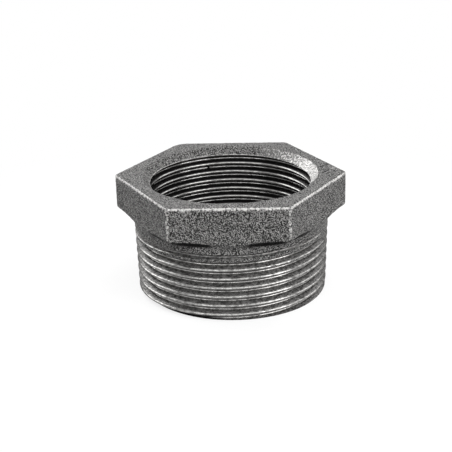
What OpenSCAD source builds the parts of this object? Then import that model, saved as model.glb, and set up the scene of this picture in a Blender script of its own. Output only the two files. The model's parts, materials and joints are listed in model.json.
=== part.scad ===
// Hexagon reducing bush of cast iron, which joins a smaller pipe to a larger fitting.
// It stands on its outer, male end: the origin is the middle of that end, and +Z runs up the pipe axis
// to the mouth in the hexagon. A flat of the hexagon faces -Y, and its corners lie on the X axis.

/* [Hexagon] */
// Width of the spanner hexagon across its flats
across_flats = 49.5; // [48.8:0.1:56]
// Height of the hexagon, from its underside to the mouth face
hexagon_height = 8.6; // [7:0.1:11]
// Radius cast on the six upright edges
corner_radius = 1; // [0.4:0.1:2]
// Radius cast along the edges of the mouth face
top_edge_radius = 0.3; // [0.2:0.1:0.8]
// Radius cast under each corner
underside_radius = 0.9; // [0.4:0.1:1.6]
// Hollow radius between the neck and the underside of the hexagon
neck_fillet = 2.5; // [1.5:0.1:3.5]

/* [Body] */
// Height of the whole bush
overall_height = 29.2; // [28:0.1:36]
// Height of the neck, from the end of the outer thread to the hexagon
neck_height = 2.6; // [2.2:0.1:5]
// Chamfer on the outside of the male end
end_chamfer = 0.3; // [0.2:0.1:1]

/* [Outer thread] */
// Major diameter at the gauge plane
outer_gauge_diameter = 47.803; // [47.4:0.001:48.2]
// Distance from the male end to the gauge plane
gauge_length = 12.7; // [10:0.1:16]
// Length of pipe over which the diameter grows by 1
taper_length = 16; // [14:1:24]
// Angle over which the groove grows shallow and leaves the neck, in degrees
run_out_angle = 360; // [300:10:540]
// Angle of the groove where it crosses the male end, in degrees
outer_start_angle = 190; // [0:5:355]

/* [Inner thread] */
// Wall left between the roots of the two threads at the male end
root_wall = 1.071; // [0.9:0.001:2]
// Depth of the inner groove below the bore, which is drilled wide and leaves the crests flat
inner_groove_depth = 1.205; // [1.1:0.005:1.4]
// Machined chamfer at 45 degrees at the mouth
mouth_chamfer = 1.75; // [1.4:0.05:2.4]
// Chamfer at 45 degrees inside the male end
inner_end_chamfer = 0.75; // [0.3:0.05:1.2]
// Angle of the groove where it crosses the male end, in degrees
inner_start_angle = 320; // [0:5:355]

/* [Thread form] */
// Distance from each turn to the next, 11 turns to 25.4
pitch = 2.309; // [2.2:0.001:2.4]
// Angle between the flanks of a groove, in degrees
flank_angle = 55; // [50:1:60]
// Straight steps in each turn of a groove
steps_per_turn = 40; // [24:4:60]

/* [Hidden] */

// The thread form is a sharp triangle that is cut off by a sixth of its height at crest and root
sharp_height = pitch / (2 * tan(flank_angle / 2));
thread_depth = sharp_height * 2 / 3;
root_width = pitch / 6;
// How far a groove's cutter stands out of the wall, which is less than would meet the next turn
cutter_reach = sharp_height / 9;

half_flats = across_flats / 2;
corner_reach = half_flats / cos(30);
underside_z = overall_height - hexagon_height;

// The male end and the neck lie on one cone
outer_taper = 1 / (2 * taper_length);
outer_end_radius = outer_gauge_diameter / 2 - gauge_length * outer_taper;
neck_z = underside_z - neck_fillet;
neck_radius = outer_end_radius + neck_z * outer_taper;
thread_end_z = underside_z - neck_height;
run_out_height = pitch * run_out_angle / 360;

// The inner thread is as large as the wall between the two threads allows
inner_root_radius = outer_end_radius - thread_depth - root_wall;
inner_radius = inner_root_radius - inner_groove_depth;
mouth_radius = inner_radius + mouth_chamfer;
inner_end_radius = inner_radius + inner_end_chamfer;

// Cutters pass by this much through the faces that they cut
overcut = 1;

$fn = 144;

// A point beside the pipe axis, from its angle, radius and height
function around(angle, radius, height) = [radius * cos(angle), radius * sin(angle), height];

// Half the width of a groove at a distance from its root
function half_width(from_root) = root_width / 2 + from_root * tan(flank_angle / 2);

// The four corners of a groove's section, as radius and height, from its root to where its cutter ends
function groove_section(root, cutter_end, height) =
  let (
    root_half = half_width(0),
    end_half = half_width(abs(cutter_end - root))
  )
    [[root, height - root_half], [cutter_end, height - end_half],
     [cutter_end, height + end_half], [root, height + root_half]];

// The solid between sections that stand around the axis, each a list of its angle and its four corners
module swept(sections) {
  corners = 4;
  points = [
    for (section = sections)
      for (corner = section[1])
        around(section[0], corner[0], corner[1])
  ];
  sides = [
    for (i = [0:len(sections) - 2])
      for (k = [0:corners - 1])
        let (
          here = i * corners + k,
          beside = i * corners + (k + 1) % corners
        )
          each [[here, beside, beside + corners], [here, beside + corners, here + corners]]
  ];
  last = len(points) - corners;
  start_cap = [3, 2, 1, 0];
  end_cap = [last, last + 1, last + 2, last + 3];
  polyhedron(points = points, faces = concat(sides, [start_cap, end_cap]));
}

// The groove of the outer thread, from one turn below the male end to where it leaves the neck
module outer_groove() {
  full_steps = ceil((thread_end_z - run_out_height + pitch) * steps_per_turn / pitch);
  run_out_steps = ceil(run_out_angle * steps_per_turn / 360);
  swept([
    for (i = [0:full_steps + run_out_steps])
      let (
        turns = i / steps_per_turn,
        height = (turns - 1) * pitch,
        crest = outer_end_radius + height * outer_taper,
        shallow = max(0, i - full_steps) / run_out_steps,
        root = crest - thread_depth + shallow * (thread_depth + cutter_reach / 2)
      )
        [outer_start_angle + turns * 360, groove_section(root, crest + cutter_reach, height)]
  ]);
}

// The groove of the inner thread, from one turn below the male end to one above the mouth face
module inner_groove() {
  steps = ceil((overall_height + 2 * pitch) * steps_per_turn / pitch);
  swept([
    for (i = [0:steps])
      let (
        turns = i / steps_per_turn,
        height = (turns - 1) * pitch
      )
        // The corners run the other way round here, because the cutter ends inside its root
        [inner_start_angle + turns * 360,
         [for (k = [3:-1:0]) groove_section(inner_root_radius, inner_radius - cutter_reach, height)[k]]]
  ]);
}

// The hexagon seen from above, with its six corners rounded
module hexagon_outline() {
  arc_centre = corner_reach - corner_radius / cos(30);
  for (turn = [0:60:300])
    rotate(turn)
      translate([arc_centre, 0])
        circle(corner_radius);
  // The flats end where the corner arcs begin
  polygon([
    for (turn = [0:60:300])
      for (side = [-30, 30])
        [
          arc_centre * cos(turn) + corner_radius * cos(turn + side),
          arc_centre * sin(turn) + corner_radius * sin(turn + side)
        ]
  ]);
}

// Half the section through two opposite corners: the male end, the neck with its fillet, and the hexagon
module corner_section() {
  // The fillet ends where the corner's own radius begins, however small the hexagon is
  fillet = min(neck_fillet, corner_reach - underside_radius - neck_radius);
  polygon([
    [0, 0],
    [outer_end_radius - end_chamfer, 0],
    [outer_end_radius + end_chamfer * outer_taper, end_chamfer],
    [neck_radius, neck_z],
    [neck_radius, underside_z + overcut],
    [0, underside_z + overcut]
  ]);
  difference() {
    translate([neck_radius - overcut, underside_z - fillet])
      square([overcut + fillet, fillet]);
    translate([neck_radius + fillet, underside_z - fillet])
      circle(fillet);
  }
  difference() {
    translate([0, underside_z])
      square([corner_reach, hexagon_height]);
    translate([corner_reach - underside_radius, underside_z])
      difference() {
        square(underside_radius);
        translate([0, underside_radius])
          circle(underside_radius);
      }
  }
}

// A cutter that rounds the edge between the mouth face and each flat
module top_edge_cutters() {
  for (turn = [30:60:330])
    rotate(turn)
      translate([half_flats - top_edge_radius, corner_reach / 2 + overcut, overall_height - top_edge_radius])
        rotate([90, 0, 0])
          linear_extrude(corner_reach + 2 * overcut)
            difference() {
              square(top_edge_radius + overcut);
              circle(top_edge_radius);
            }
}

// The bore, with a chamfer at 45 degrees at each end
module bore() {
  translate([0, 0, -overcut])
    cylinder(h = overall_height + 2 * overcut, r = inner_radius);
  translate([0, 0, overall_height - mouth_chamfer])
    cylinder(h = mouth_chamfer + overcut, r1 = inner_radius, r2 = mouth_radius + overcut);
  translate([0, 0, -overcut])
    cylinder(h = inner_end_chamfer + overcut, r1 = inner_end_radius + overcut, r2 = inner_radius);
}

module reducing_bush() {
  color("dimgray")
    difference() {
      intersection() {
        rotate_extrude()
          corner_section();
        linear_extrude(overall_height)
          hexagon_outline();
      }
      top_edge_cutters();
      bore();
      inner_groove();
      outer_groove();
    }
}

reducing_bush();
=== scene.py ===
# Looks of the hexagon reducing bush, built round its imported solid.
# The bush is made the way the real one is: a rough casting, whose outside is threaded with a die and whose
# bore is threaded with a tap. It is modelled in millimetres, and brought to metres when it is finished.
import json
import math

import bmesh
import bpy
from mathutils import Matrix, Vector


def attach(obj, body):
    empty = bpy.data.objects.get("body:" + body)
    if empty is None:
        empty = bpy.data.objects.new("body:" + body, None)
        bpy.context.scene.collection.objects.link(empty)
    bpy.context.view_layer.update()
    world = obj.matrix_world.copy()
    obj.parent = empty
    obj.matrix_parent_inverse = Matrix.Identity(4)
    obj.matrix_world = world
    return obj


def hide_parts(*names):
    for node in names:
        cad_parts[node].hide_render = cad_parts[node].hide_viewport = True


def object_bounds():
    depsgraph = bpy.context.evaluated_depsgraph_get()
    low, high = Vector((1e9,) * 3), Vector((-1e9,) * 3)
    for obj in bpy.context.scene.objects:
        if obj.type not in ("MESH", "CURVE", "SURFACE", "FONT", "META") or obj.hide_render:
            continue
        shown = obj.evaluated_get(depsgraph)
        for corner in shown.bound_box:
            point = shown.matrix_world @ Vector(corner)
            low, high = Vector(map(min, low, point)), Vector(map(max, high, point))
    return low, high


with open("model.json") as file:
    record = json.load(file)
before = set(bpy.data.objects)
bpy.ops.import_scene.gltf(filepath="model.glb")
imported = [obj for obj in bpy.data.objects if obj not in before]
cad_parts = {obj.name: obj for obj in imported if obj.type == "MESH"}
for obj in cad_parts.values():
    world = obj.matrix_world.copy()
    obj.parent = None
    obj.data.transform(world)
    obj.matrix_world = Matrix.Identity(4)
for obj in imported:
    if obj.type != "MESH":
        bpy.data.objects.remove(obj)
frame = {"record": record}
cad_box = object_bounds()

MM = 0.001
NODE = "reducing_bush"
MOUNTS = {mount["name"]: mount for mount in frame["record"]["mounts"]}

# The ways that three flats of the hexagon face, in degrees, and half the angle between two of its corners
FLAT_WAYS = (30, 90, 150)
HALF_SIDE_ANGLE = math.radians(30)

# Sizes of the casting, in millimetres
HEIGHT = cad_box[1].z / MM
HALF_FLATS = cad_box[1].y / MM
CORNER_REACH = HALF_FLATS / math.cos(HALF_SIDE_ANGLE)
HEXAGON_HEIGHT = 8.6
UNDERSIDE = HEIGHT - HEXAGON_HEIGHT
NECK_HEIGHT = 2.6
CORNER_RADIUS = 1.0
# The back left corner is knocked rounder than the others, at this angle
BLUNT_CORNER = 120
BLUNT_RADIUS = 4.2
TOP_EDGE_RADIUS = 0.3
UNDERSIDE_RADIUS = 0.9
NECK_FILLET = 2.5
# The sand leaves lumps of this size and depth, nearly all of which lie below the drawn surface
SAND_SIZE = 0.7
SAND_RELIEF = 0.12
SAND_SINKS = 0.95

# Both threads are right-hand and have the rounded pipe form, with 11 turns to the inch. The radius of its
# crests and roots, and its depth, are shares of the pitch.
PITCH = 2.309
FLANK_ANGLE = 55
ROUNDING = 0.137329 * PITCH
THREAD_DEPTH = 0.640327 * PITCH

# Outer thread, on a cone whose radius grows by 1 in 32 and whose diameter is given at the gauge plane
GAUGE_DIAMETER = 47.803
GAUGE_LENGTH = 12.7
TAPER = 1 / 32
END_RADIUS = GAUGE_DIAMETER / 2 - GAUGE_LENGTH * TAPER
# Angle at which the groove crosses the male end
OUTER_START = math.radians(190)
# The groove grows shallow over its last turn, and ends at this height
THREAD_END = UNDERSIDE - NECK_HEIGHT
RUN_OUT = PITCH
END_CHAMFER = 0.3
# Up to the height CUT_CRESTS the casting is larger than the cone by SKIN, so that the die cuts the crests
# all round. It narrows over SKIN_STEP, and above that the crests keep their cast skin.
CUT_CRESTS = 13.0
SKIN = 0.15
SKIN_STEP = 0.5

# Inner thread, right through the bore, as deep and as round as the outer one
BORE_RADIUS = MOUNTS["inner_thread"]["dims"]["r_mm"]
INNER_ROOT = BORE_RADIUS + THREAD_DEPTH
INNER_START = math.radians(320)
# The tap ran a little askew, higher towards +X, in degrees
TAP_LEAN = 1.3
MOUTH_CHAMFER = 1.75
INNER_END_CHAMFER = 0.75
# The groove closes at the lower edge of the mouth's chamfer, and opens at these slopes above and below it
OPENS_ABOVE = 0.9
OPENS_BELOW = 1.9

# The mouth's chamfer is cast, and its countersink ran off centre, so that it cut only on one side: how far
# it ran, which way in degrees, and how much smaller it is than the cast chamfer
COUNTERSINK_SHIFT = 0.9
COUNTERSINK_WAY = 28
COUNTERSINK_SHORT = 0.6

# Fineness of the meshes, and how far a cutter stands out of what it cuts
CAST_FINENESS = 0.29
TURNED_SIDES = 240
OUTER_SIDES = 180
OUTER_ROUNDING_STEPS = 3
INNER_SIDES = 144
INNER_ROUNDING_STEPS = 2
SMOOTH_ANGLE = math.radians(38)
OVERCUT = 1.5
# The outside of the die is larger than its thread by this factor
RING_GROWTH = 1.25

# Places of the finishes in the material slots of the bush
CAST = 0
DIE_CUT = 1
TAP_CUT = 2
FACED = 3
# Chips and scratches are coloured black as painted shade
NICK_PAINTED_SHADE = 4

# Chips and scratches, each as its middle, its half sizes, its turn about Z in degrees and its finish
NICKS = [
    ((-6.24, 20.3, 24.1), (0.45, 0.9, 0.45), 0, NICK_PAINTED_SHADE),
    ((25.1, 2.6, HEIGHT), (0.6, 0.3, 0.5), 25, FACED),
    ((24.2, 5.6, HEIGHT), (0.8, 0.3, 0.5), 50, NICK_PAINTED_SHADE),
    ((25.6, 1.0, HEIGHT), (0.4, 0.3, 0.5), 100, NICK_PAINTED_SHADE),
    ((23.2, 1.6, HEIGHT), (2.0, 0.27, 0.5), 16, NICK_PAINTED_SHADE),
    ((23.4, 0.2, HEIGHT), (1.8, 0.27, 0.5), 55, NICK_PAINTED_SHADE),
    ((22.9, 4.4, HEIGHT), (2.0, 0.27, 0.5), 46, NICK_PAINTED_SHADE),
]

# The camera, fitted to the photograph's frame: place in metres, angles in degrees, lens for a 36 mm sensor
CAMERA_PLACE = (0.00774, -0.28711, 0.12783)
CAMERA_AZIMUTH = 1.812
CAMERA_ELEVATION = 21.42
CAMERA_ROLL = -1.371
CAMERA_LENS = 98.28

# Rays that see the surroundings as plain white, and the light that the surroundings give
RAYS_THAT_SHOW = ("Is Camera Ray", "Is Glossy Ray", "Is Transmission Ray")
WORLD_LIGHT = 0.22

# The floor is pale where it is seen, and darker where it throws light on the bush. It turns white over two
# stretches, given as distances from the pipe axis in millimetres and the share of the white that each adds.
FLOOR_SEEN = (0.95, 0.95, 0.95, 1)
FLOOR_LIT = (0.3, 0.3, 0.3, 1)
FLOOR_FADES = ((19.0, 22.0, 0.75), (22.0, 120.0, 0.25))

# Each lamp's azimuth from the front towards the right and its elevation, in degrees, its width and height
# in metres, and its watts. All face the bush from the same distance, in metres.
LAMP_DISTANCE = 0.42
LAMPS = {
    "right_lamp": (53, 27, 0.28, 0.4, 1.6),
    "back_right_lamp": (115, 32, 0.3, 0.16, 0.3),
    "high_lamp": (140, 62, 0.15, 0.15, 0.35),
    "left_lamp": (-133, 34, 0.5, 0.3, 1.55),
    "front_lamp": (-12, 38, 0.5, 0.16, 1.05),
}


class Wire:
    """An output of a node that takes part in Python sums, each of which adds a Math node."""

    def __init__(self, finish, socket):
        self.finish = finish
        self.socket = socket

    def __add__(self, other):
        return self.finish.math("ADD", self, other)

    def __sub__(self, other):
        return self.finish.math("SUBTRACT", self, other)

    def __rsub__(self, other):
        return self.finish.math("SUBTRACT", other, self)

    def __mul__(self, other):
        return self.finish.math("MULTIPLY", self, other)

    def __abs__(self):
        return self.finish.math("ABSOLUTE", self, 0)

    def least(self, other):
        return self.finish.math("MINIMUM", self, other)

    def most(self, other):
        return self.finish.math("MAXIMUM", self, other)

    __radd__ = __add__
    __rmul__ = __mul__


class Finish:
    """A material with its shader, and the nodes that feed it from the place on the bush in millimetres."""

    def __init__(self, name):
        self.material = bpy.data.materials.new(name)
        self.material.use_nodes = True
        self.tree = self.material.node_tree
        self.shader = self.tree.nodes["Principled BSDF"]
        metres = self.node("ShaderNodeTexCoord", output="Object")
        self.place = self.node("ShaderNodeVectorMath", {"operation": "SCALE"}, {0: metres, "Scale": 1 / MM})
        parts = [self.node("ShaderNodeSeparateXYZ", inputs={0: self.place}, output=axis) for axis in "XYZ"]
        self.x, self.y, self.z = parts

    def node(self, kind, settings={}, inputs={}, output=0):
        """Adds a node, with its settings first and then the values or wires of its sockets."""
        node = self.tree.nodes.new(kind)
        for setting, value in settings.items():
            setattr(node, setting, value)
        for name, value in inputs.items():
            if isinstance(value, Wire):
                self.tree.links.new(value.socket, node.inputs[name])
            else:
                node.inputs[name].default_value = value
        return Wire(self, node.outputs[output])

    def math(self, operation, first, second):
        return self.node("ShaderNodeMath", {"operation": operation}, {0: first, 1: second})

    def scaled(self, place, factors):
        """A place with each of its coordinates multiplied by its own factor."""
        return self.node("ShaderNodeVectorMath", {"operation": "MULTIPLY"}, {0: place, 1: factors})

    def length(self, place):
        """How far a place lies from the origin."""
        return self.node("ShaderNodeVectorMath", {"operation": "LENGTH"}, {0: place}, output="Value")

    def noise(self, size, detail=2.0, roughness=0.5, stretch=(1, 1, 1)):
        """Noise from 0 to 1 with lumps of about this size in millimetres, longer where stretch is low."""
        place = self.scaled(self.place, stretch)
        sockets = {"Vector": place, "Scale": 1 / size, "Detail": detail, "Roughness": roughness}
        return self.node("ShaderNodeTexNoise", inputs=sockets)

    def grains(self, size):
        """Distance from the middles of packed grains of about this size in millimetres, about 0 to 0.8."""
        return self.node("ShaderNodeTexVoronoi", inputs={"Vector": self.place, "Scale": 1 / size})

    def step(self, value, low, high):
        """A smooth step from 0 at low to 1 at high."""
        sockets = {"Value": value, "From Min": low, "From Max": high}
        return self.node("ShaderNodeMapRange", {"interpolation_type": "SMOOTHSTEP"}, sockets)

    def blend(self, share, first, second):
        """A colour between two, each a grey value, a colour or a wire."""
        sockets = {0: share, 6: as_colour(first), 7: as_colour(second)}
        return self.node("ShaderNodeMix", {"data_type": "RGBA"}, sockets, output=2)

    def feed(self, **wires):
        """Feeds the shader's sockets, which are named with underscores for spaces."""
        for name, value in wires.items():
            socket = self.shader.inputs[name.replace("_", " ")]
            if isinstance(value, Wire):
                self.tree.links.new(value.socket, socket)
            else:
                socket.default_value = value

    def relief(self, height, strength):
        """Feeds the shader's normal from a height in millimetres."""
        sockets = {"Height": height, "Distance": MM, "Strength": strength}
        self.feed(Normal=self.node("ShaderNodeBump", inputs=sockets))


def as_colour(value):
    """The slightly warm grey of old iron from a grey value, and anything else as it is."""
    return (value, value * 0.985, value * 0.965, 1) if isinstance(value, float) else value


def inside_flats(finish):
    """How far a point lies inside the nearest pair of flats, and inside the next pair, in millimetres."""
    first, second, third = (
        HALF_FLATS - abs(finish.x * math.cos(way) + finish.y * math.sin(way))
        for way in (math.radians(angle) for angle in FLAT_WAYS)
    )
    nearest = first.least(second).least(third)
    furthest = first.most(second).most(third)
    return nearest, first + second + third - nearest - furthest


def edge_wear(finish, nearest, next_nearest):
    """Wear from 0 to 1 along the hexagon's edges, and along the lower edge of the mouth's chamfer."""
    below = HEIGHT - finish.z
    ragged = (finish.noise(0.5, 3, 0.7) - 0.5) * 1.1
    # Wear lies on the sides of the hexagon more than on its mouth face
    top_edge = 1 - finish.step(nearest * 1.8 + below * 0.8 + ragged * 1.6, 0.36, 0.68)
    upright_edge = 1 - finish.step(nearest + next_nearest + ragged, 0.38, 0.52)
    on_hexagon = finish.step(finish.z, UNDERSIDE, UNDERSIDE + 0.8)
    # The edge of the bore lies this far inside the flats, and no point of the neck does
    in_mouth = finish.step(nearest, 4.2, 4.6)
    chamfer_low = HEIGHT - MOUTH_CHAMFER
    above_edge = finish.step(finish.z + ragged * 0.5, chamfer_low - 0.05, chamfer_low + 0.1)
    mouth_edge = in_mouth * (1 - above_edge)
    return top_edge.most(upright_edge * on_hexagon * 0.8).most(mouth_edge * 0.7)


def hollow_painted_shade(finish, nearest):
    """Painted shade from 0 to 1 in the hollow under the hexagon's corners, but not below its flats."""
    angle = finish.math("ARCTAN2", finish.y, finish.x)
    from_corner = finish.math("PINGPONG", angle, HALF_SIDE_ANGLE)
    painted_shade = finish.step(finish.z - from_corner * 2.0, UNDERSIDE - 2.4, UNDERSIDE - 1.8)
    painted_shade = painted_shade * (1 - finish.step(finish.z, UNDERSIDE + 0.4, UNDERSIDE + 0.8))
    painted_shade = painted_shade * finish.step(nearest, 0.1, 0.3)
    return painted_shade * (1 - finish.step(from_corner, math.radians(18), math.radians(24)))


def cast_finish():
    """Dark rough skin of the casting, worn bright along its edges, and painted black as shade in its
    hollow.
    """
    finish = Finish("cast_skin")
    finish.feed(Specular_IOR_Level=0.15)
    sand = finish.noise(0.28, 2, 0.8)
    grains = finish.grains(0.26)
    lumps = finish.noise(2.2, 2, 0.5)
    rough = (0.6 - grains) * 0.5 + sand
    skin = finish.blend(finish.step(rough + (lumps - 0.5) * 0.1, 0.48, 0.72), 0.01, 0.39)
    nearest, next_nearest = inside_flats(finish)
    worn = edge_wear(finish, nearest, next_nearest)
    # Painted shade: the hollow under the hexagon's corners is coloured black and metallic
    painted_shade = hollow_painted_shade(finish, nearest)
    finish.feed(
        Base_Color=finish.blend(painted_shade, finish.blend(worn, skin, 0.66), 0.004),
        Roughness=0.55 - worn * 0.15 + (lumps - 0.5) * 0.2,
        Metallic=(worn * 0.5).most(painted_shade),
    )
    finish.relief(rough * 0.35 + lumps * 0.1, 1.0)
    return finish.material


def cut_finish(name, dark, light, flank_painted_shade, rough, crest_radius, taper):
    """Iron cut by the die or the tap, between two greys, with fine marks of the tool along the thread."""
    finish = Finish(name)
    marks = finish.noise(0.16, 2, 0.5, stretch=(0.12, 0.12, 1))
    stain = finish.noise(0.9, 2, 0.6)
    grit = finish.noise(0.26, 2, 0.7, stretch=(0.4, 0.4, 1))
    # The tool tears the flanks of its thread, which stay duller than the crests and the roots, and their
    # colour is darkened as painted shade
    radius = finish.length(finish.scaled(finish.place, (1, 1, 0)))
    depth = abs(finish.z * taper + crest_radius - radius)
    flank = finish.step(depth, 0.12, 0.35) * (1 - finish.step(depth, 1.1, 1.35))
    even = marks * 0.25 + 0.225
    tone = even + flank * (grit * 0.7 - even) + stain * 0.3
    iron = finish.blend(finish.step(tone, 0.38, 0.62), dark, light)
    # Painted shade blackens the groove where it runs out at the male end, on the side of -X
    low = 1 - finish.step(finish.z, 0.6, 0.9)
    on_left = 1 - finish.step(finish.x, -6.0, 0.0)
    painted_shade = low * finish.step(depth, 0.5, 0.8) * on_left
    # The Base Color darkens towards black as painted shade, in the run-out groove and on the flanks
    finish.feed(
        Base_Color=finish.blend(painted_shade.most(flank * flank_painted_shade), iron, 0.01),
        Roughness=0.13 + stain * 0.1 + flank * rough,
        Metallic=1 - flank * 0.12,
        Specular_Tint=(0.35, 0.35, 0.35, 1),
    )
    finish.relief(marks * 0.01 + flank * grit * 0.08, 0.8)
    return finish.material


def faced_finish():
    """The chamfers and the male end, machined bright."""
    finish = Finish("machined_chamfer")
    grain = finish.noise(0.4, 2, 0.75)
    # The countersink only grazed the casting towards the back, which stays duller there
    grazed = finish.step(finish.y, 8.0, 18.0)
    finish.feed(
        Base_Color=finish.blend(finish.step(grain - grazed * 0.12, 0.38, 0.62), 0.08, 0.62),
        Roughness=0.5,
        Metallic=0.6,
    )
    finish.relief(grain * 0.15, 0.9)
    return finish.material


def nick_painted_shade_finish():
    """Chips and scratches, coloured black as painted shade."""
    finish = Finish("dirty_scratch")
    finish.feed(Base_Color=(0.015, 0.015, 0.015, 1), Roughness=0.6)
    return finish.material


def cone_radius(height):
    """Radius of the outer cone at a height above the male end."""
    return END_RADIUS + height * TAPER


def make_active(piece):
    """Makes a piece the one that operators act on."""
    bpy.ops.object.select_all(action="DESELECT")
    piece.select_set(True)
    bpy.context.view_layer.objects.active = piece


def start_editing(piece, kind="VERT", everything=True):
    """Opens a piece in edit mode with everything selected, or nothing."""
    make_active(piece)
    bpy.ops.object.mode_set(mode="EDIT")
    bpy.ops.mesh.select_mode(type=kind)
    bpy.ops.mesh.select_all(action="SELECT" if everything else "DESELECT")


def stop_editing():
    bpy.ops.object.mode_set(mode="OBJECT")


def face_outwards():
    """Turns the faces of a closed piece outwards, in edit mode."""
    bpy.ops.mesh.select_all(action="SELECT")
    bpy.ops.mesh.normals_make_consistent(inside=False)


def select_edges(piece, wanted):
    """Selects each edge whose middle and direction are as wanted, in edit mode."""
    mesh = bmesh.from_edit_mesh(piece.data)
    for edge in mesh.edges:
        first, second = (vertex.co for vertex in edge.verts)
        edge.select_set(wanted((first + second) / 2, (second - first).normalized()))
    bmesh.update_edit_mesh(piece.data)


def new_piece(name):
    """Names the primitive that was just added, and fixes its place in its mesh."""
    piece = bpy.context.object
    piece.name = name
    piece.data.name = name
    bpy.ops.object.transform_apply(location=True, rotation=True, scale=True)
    return piece


def set_finish(piece, finish):
    """Gives a whole piece one of the finishes, all of which are in its slots."""
    for material in FINISHES:
        piece.data.materials.append(material)
    for face in piece.data.polygons:
        face.material_index = finish


def apply_modifier(piece, kind, **settings):
    """Adds a modifier with these settings to a piece, and applies it."""
    make_active(piece)
    modifier = piece.modifiers.new(kind.lower(), kind)
    for setting, value in settings.items():
        setattr(modifier, setting, value)
    bpy.ops.object.modifier_apply(modifier=modifier.name)


def combine(piece, operation, tool):
    """Cuts a piece by a closed tool, or keeps what both share, and takes the tool away."""
    apply_modifier(piece, "BOOLEAN", operation=operation, solver="MANIFOLD", object=tool)
    bpy.data.objects.remove(tool)


def turned(name, stations, finish):
    """A closed turned solid: a disc, extruded from station to station, each a radius and a height."""
    radius, height = stations[0]
    bpy.ops.mesh.primitive_circle_add(
        vertices=TURNED_SIDES, radius=radius, fill_type="NGON", location=(0, 0, height)
    )
    piece = new_piece(name)
    start_editing(piece, "FACE")
    for next_radius, next_height in stations[1:]:
        rise = {"value": (0, 0, next_height - height)}
        bpy.ops.mesh.extrude_region_move(TRANSFORM_OT_translate=rise)
        share = next_radius / radius
        bpy.ops.transform.resize(value=(share, share, 1))
        radius, height = next_radius, next_height
    face_outwards()
    stop_editing()
    set_finish(piece, finish)
    return piece


def bend(centre, radius, start, end, steps):
    """Points on an arc round a centre, from one angle in degrees to another."""
    angles = [math.radians(start + (end - start) * i / steps) for i in range(steps + 1)]
    return [(centre[0] + radius * math.cos(a), centre[1] + radius * math.sin(a)) for a in angles]


def thread_form(root, crest, steps):
    """One pitch of a thread from root to root, as radii and heights, with rounded roots and crests."""
    side = 1 if crest > root else -1
    arc = bend((0, 0), ROUNDING, 0, 90 - FLANK_ANGLE / 2, steps)
    half = [(root + side * (ROUNDING - x), y) for x, y in arc]
    half += [(crest - side * (ROUNDING - x), PITCH / 2 - y) for x, y in reversed(arc)]
    return half + [(radius, PITCH - rise) for radius, rise in reversed(half)]


def screwed(name, form, start, low, high, sides):
    """A helical surface: one pitch of a thread is drawn, and screwed round the axis from low to high."""
    turns = math.ceil((high - low) / PITCH) + 2
    first_root = (math.floor(low / PITCH) - 1 - start / math.tau) * PITCH
    points = [Vector((radius, 0, first_root + rise)) for radius, rise in form]
    bpy.ops.mesh.primitive_plane_add(size=PITCH, location=points[0])
    piece = new_piece(name)
    start_editing(piece)
    bpy.ops.mesh.merge(type="CENTER")
    for point, next_point in zip(points, points[1:]):
        bpy.ops.mesh.extrude_vertices_move(TRANSFORM_OT_translate={"value": next_point - point})
    stop_editing()
    apply_modifier(
        piece, "SCREW", axis="Z", screw_offset=PITCH, iterations=turns, steps=sides, render_steps=sides
    )
    start_editing(piece)
    bpy.ops.mesh.remove_doubles(threshold=PITCH / 1000)
    stop_editing()
    return piece


def cut_level(piece, height, above):
    """Cuts away what lies above a height, or below it."""
    start_editing(piece)
    bpy.ops.mesh.bisect(
        plane_co=(0, 0, height), plane_no=(0, 0, 1), clear_outer=above, clear_inner=not above
    )
    stop_editing()


def run_out(point):
    """Moves a point of the outer thread on to the cone, and out of the casting where the thread ends."""
    angle = math.atan2(point.y, point.x)
    radius = math.hypot(point.x, point.y)
    lead = (angle - OUTER_START) / math.tau
    root_height = (round(point.z / PITCH - lead) + lead) * PITCH
    shallow = min(max((root_height - THREAD_END + RUN_OUT) / RUN_OUT, 0), 1)
    depth = END_RADIUS - radius - shallow * (THREAD_DEPTH + ROUNDING / 2)
    share = (cone_radius(point.z) - depth) / radius
    point.x *= share
    point.y *= share


def die():
    """The tool that cuts the outer thread: a ring with the thread inside it."""
    top = THREAD_END + ROUNDING / 2
    form = thread_form(END_RADIUS - THREAD_DEPTH, END_RADIUS, OUTER_ROUNDING_STEPS)
    tool = screwed("die", form, OUTER_START, -OVERCUT, top, OUTER_SIDES)
    for vertex in tool.data.vertices:
        run_out(vertex.co)
    cut_level(tool, -OVERCUT, above=False)
    cut_level(tool, top, above=True)
    start_editing(tool, "EDGE", everything=False)
    bpy.ops.mesh.select_non_manifold()
    # The two rims are taken outwards, well past the casting, and joined
    bpy.ops.mesh.extrude_region_move()
    bpy.ops.transform.resize(value=(RING_GROWTH, RING_GROWTH, 1))
    bpy.ops.mesh.bridge_edge_loops()
    face_outwards()
    stop_editing()
    set_finish(tool, DIE_CUT)
    return tool


def lean_and_stop(point):
    """Moves a point of the inner thread for the lean, and inwards where the groove closes."""
    point.z += point.x * math.tan(math.radians(TAP_LEAN))
    radius = math.hypot(point.x, point.y)
    above = point.z - HEIGHT + MOUTH_CHAMFER
    limit = BORE_RADIUS + max(above * OPENS_ABOVE, -above * OPENS_BELOW)
    share = min(1, limit / radius)
    point.x *= share
    point.y *= share


def tap():
    """The tool that cuts the inner thread: a screw."""
    form = thread_form(INNER_ROOT, BORE_RADIUS, INNER_ROUNDING_STEPS)
    tool = screwed("tap", form, INNER_START, -2 * OVERCUT, HEIGHT + 2 * OVERCUT, INNER_SIDES)
    for vertex in tool.data.vertices:
        lean_and_stop(vertex.co)
    cut_level(tool, -OVERCUT, above=False)
    cut_level(tool, HEIGHT + OVERCUT, above=True)
    start_editing(tool, "EDGE", everything=False)
    bpy.ops.mesh.select_non_manifold()
    bpy.ops.mesh.fill_holes(sides=0)
    face_outwards()
    stop_editing()
    set_finish(tool, TAP_CUT)
    return tool


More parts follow.
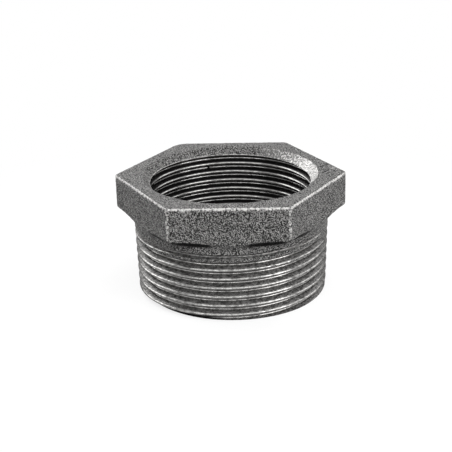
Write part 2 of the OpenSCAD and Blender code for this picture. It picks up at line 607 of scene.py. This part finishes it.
def hexagon():
    """The spanner hexagon as a tall prism, whose lower part the turned body trims."""
    depth = HEIGHT + OVERCUT
    bpy.ops.mesh.primitive_cylinder_add(
        vertices=6, radius=CORNER_REACH, depth=depth, location=(0, 0, HEIGHT - depth / 2),
        rotation=(0, 0, HALF_SIDE_ANGLE),
    )
    piece = new_piece("hexagon")
    start_editing(piece, "EDGE", everything=False)
    blunt = Matrix.Rotation(math.radians(BLUNT_CORNER), 3, "Z") @ Vector((CORNER_REACH, 0, 0))
    for radius, is_blunt in ((CORNER_RADIUS, False), (BLUNT_RADIUS, True)):
        select_edges(
            piece,
            lambda middle, way: abs(way.z) > 0.9
            and abs(middle.xy.length - CORNER_REACH) < 0.1
            and ((middle.xy - blunt.xy).length < 1) == is_blunt,
        )
        tangent = radius * math.tan(HALF_SIDE_ANGLE)
        bpy.ops.mesh.bevel(offset=tangent, segments=5, affect="EDGES")
        bpy.ops.mesh.select_all(action="DESELECT")
    select_edges(piece, lambda middle, way: middle.z > HEIGHT - 0.01 and abs(way.z) < 0.1)
    bpy.ops.mesh.bevel(offset=TOP_EDGE_RADIUS, segments=3, affect="EDGES")
    stop_editing()
    set_finish(piece, CAST)
    return piece


def casting():
    """The rough casting, before any machining."""
    neck_height = UNDERSIDE - NECK_FILLET
    neck = cone_radius(neck_height)
    stations = [
        (cone_radius(-OVERCUT) + SKIN, -OVERCUT),
        (cone_radius(CUT_CRESTS) + SKIN, CUT_CRESTS),
        (cone_radius(CUT_CRESTS + SKIN_STEP), CUT_CRESTS + SKIN_STEP),
    ]
    stations += bend((neck + NECK_FILLET, neck_height), NECK_FILLET, start=180, end=90, steps=9)
    corner_centre = (CORNER_REACH - UNDERSIDE_RADIUS, UNDERSIDE + UNDERSIDE_RADIUS)
    stations += bend(corner_centre, UNDERSIDE_RADIUS, start=-90, end=0, steps=4)
    stations.append((CORNER_REACH, HEIGHT + OVERCUT))
    piece = turned("bush", stations, CAST)
    combine(piece, "INTERSECT", hexagon())
    combine(piece, "DIFFERENCE", mouth_cone("cast_mouth", MOUTH_CHAMFER))
    apply_modifier(piece, "REMESH", mode="VOXEL", voxel_size=CAST_FINENESS)
    apply_modifier(piece, "SMOOTH", factor=0.5, iterations=1)
    sand = bpy.data.textures.new("sand", "CLOUDS")
    sand.noise_scale = SAND_SIZE
    sand.noise_depth = 1
    apply_modifier(piece, "DISPLACE", texture=sand, strength=SAND_RELIEF, mid_level=SAND_SINKS)
    return piece


def mouth_cone(name, chamfer):
    """A cone that cuts a chamfer of this size at 45 degrees in the mouth."""
    depth = chamfer + OVERCUT
    stations = [(BORE_RADIUS - OVERCUT, HEIGHT - depth), (BORE_RADIUS + depth, HEIGHT + OVERCUT)]
    return turned(name, stations, FACED)


def nick(middle, half_sizes, turn, finish):
    """A small rounded tool that leaves a chip or a scratch."""
    bpy.ops.mesh.primitive_ico_sphere_add(
        subdivisions=2, radius=1, location=middle, rotation=(0, 0, math.radians(turn)), scale=half_sizes
    )
    piece = new_piece("nick")
    set_finish(piece, finish)
    return piece


def machine(piece):
    """Threads the casting, and cuts its chamfers and its male end."""
    combine(piece, "DIFFERENCE", die())
    combine(piece, "DIFFERENCE", tap())
    countersink = mouth_cone("countersink", MOUTH_CHAMFER - COUNTERSINK_SHORT)
    way = math.radians(COUNTERSINK_WAY)
    countersink.location = (COUNTERSINK_SHIFT * math.cos(way), COUNTERSINK_SHIFT * math.sin(way), 0)
    combine(piece, "DIFFERENCE", countersink)
    for middle, half_sizes, turn, finish in NICKS:
        combine(piece, "DIFFERENCE", nick(middle, half_sizes, turn, finish))
    depth = INNER_END_CHAMFER + OVERCUT
    inner_end = [(BORE_RADIUS + depth, -OVERCUT), (BORE_RADIUS - OVERCUT, depth)]
    combine(piece, "DIFFERENCE", turned("end_countersink", inner_end, FACED))
    # The male end is faced flat, with a small chamfer outside
    end = END_RADIUS - END_CHAMFER
    envelope = [(end, 0), (end + HEIGHT + OVERCUT, HEIGHT + OVERCUT)]
    combine(piece, "INTERSECT", turned("faced_end", envelope, FACED))


def sharpen_cuts(piece):
    """Keeps the edges crisp where a tool cut into another finish."""
    start_editing(piece, "EDGE", everything=False)
    mesh = bmesh.from_edit_mesh(piece.data)
    for edge in mesh.edges:
        edge.select_set(len({face.material_index for face in edge.link_faces}) > 1)
    bmesh.update_edit_mesh(piece.data)
    bpy.ops.mesh.mark_sharp()
    stop_editing()


def bush():
    """The finished bush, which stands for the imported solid."""
    piece = casting()
    machine(piece)
    sharpen_cuts(piece)
    piece.scale = (MM, MM, MM)
    bpy.ops.object.transform_apply(scale=True)
    bpy.ops.object.shade_smooth_by_angle(angle=SMOOTH_ANGLE)
    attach(piece, "root")
    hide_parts(NODE)
    return piece


def add_floor():
    """A pale floor that keeps the shadow near the bush and fades to the white of the surroundings."""
    bpy.ops.mesh.primitive_plane_add(size=4)
    floor = bpy.context.object
    floor.name = "floor"
    finish = Finish("floor")
    tree = finish.tree
    rays = [finish.node("ShaderNodeLightPath", output=name) for name in RAYS_THAT_SHOW]
    shown = rays[0] + rays[1] + rays[2]
    finish.feed(
        Base_Color=finish.blend(shown, FLOOR_LIT, FLOOR_SEEN),
        Roughness=0.9,
        Specular_IOR_Level=0,
    )
    distance = finish.length(finish.place)
    near, far = (finish.step(distance, start, end) * share for start, end, share in FLOOR_FADES)
    white = finish.node("ShaderNodeEmission", inputs={"Strength": 1.0})
    mixed = finish.node("ShaderNodeMixShader", inputs={0: (near + far) * shown})
    tree.links.new(finish.shader.outputs[0], mixed.socket.node.inputs[1])
    tree.links.new(white.socket, mixed.socket.node.inputs[2])
    tree.links.new(mixed.socket, tree.nodes["Material Output"].inputs["Surface"])
    floor.data.materials.append(finish.material)


def add_surroundings():
    """White where the camera, gloss and glass look, and a plain grey light elsewhere."""
    world = bpy.data.worlds.new("surroundings")
    bpy.context.scene.world = world
    world.use_nodes = True
    tree = world.node_tree
    background = tree.nodes["Background"]
    background.inputs["Color"].default_value = (1, 1, 1, 1)
    path = tree.nodes.new("ShaderNodeLightPath")
    total = path.outputs[RAYS_THAT_SHOW[0]]
    for name in RAYS_THAT_SHOW[1:]:
        add = tree.nodes.new("ShaderNodeMath")
        tree.links.new(total, add.inputs[0])
        tree.links.new(path.outputs[name], add.inputs[1])
        total = add.outputs[0]
    strength = tree.nodes.new("ShaderNodeMapRange")
    strength.inputs["To Min"].default_value = WORLD_LIGHT
    tree.links.new(total, strength.inputs["Value"])
    tree.links.new(strength.outputs[0], background.inputs["Strength"])


def add_lamp(name, azimuth, elevation, width, height, power):
    """A soft oblong lamp that faces the middle of the bush."""
    azimuth = math.radians(azimuth)
    elevation = math.radians(elevation)
    level = LAMP_DISTANCE * math.cos(elevation)
    rise = LAMP_DISTANCE * math.sin(elevation)
    away = Vector((level * math.sin(azimuth), -level * math.cos(azimuth), rise))
    bpy.ops.object.light_add(type="AREA", location=away + Vector((0, 0, HEIGHT * MM / 2)))
    lamp = bpy.context.object
    lamp.name = name
    lamp.data.shape = "RECTANGLE"
    lamp.data.size = width
    lamp.data.size_y = height
    lamp.data.energy = power
    lamp.rotation_euler = (-away).to_track_quat("-Z", "Y").to_euler()


def add_camera():
    """The camera, where the photograph's camera stood."""
    azimuth = math.radians(CAMERA_AZIMUTH)
    elevation = math.radians(CAMERA_ELEVATION)
    turn = Matrix.Rotation(azimuth, 4, "Z") @ Matrix.Rotation(math.pi / 2 - elevation, 4, "X")
    roll = Matrix.Rotation(math.radians(CAMERA_ROLL), 4, "Z")
    data = bpy.data.cameras.new("camera")
    data.lens = CAMERA_LENS
    data.clip_start = 0.01
    camera = bpy.data.objects.new("camera", data)
    bpy.context.scene.collection.objects.link(camera)
    camera.matrix_world = Matrix.Translation(CAMERA_PLACE) @ turn @ roll
    bpy.context.scene.camera = camera


# The finishes, each in its place in the material slots
FINISHES = [
    cast_finish(),
    cut_finish("die_cut", dark=0.1, light=0.42, flank_painted_shade=0.5, rough=0.25, crest_radius=END_RADIUS, taper=TAPER),
    cut_finish("tap_cut", dark=0.14, light=0.36, flank_painted_shade=0.9, rough=0, crest_radius=BORE_RADIUS, taper=0),
    faced_finish(),
    nick_painted_shade_finish(),
]
bush()
add_floor()
add_surroundings()
for lamp_name, lamp_facts in LAMPS.items():
    add_lamp(lamp_name, *lamp_facts)
add_camera()
bpy.context.scene.view_settings.view_transform = "Standard"
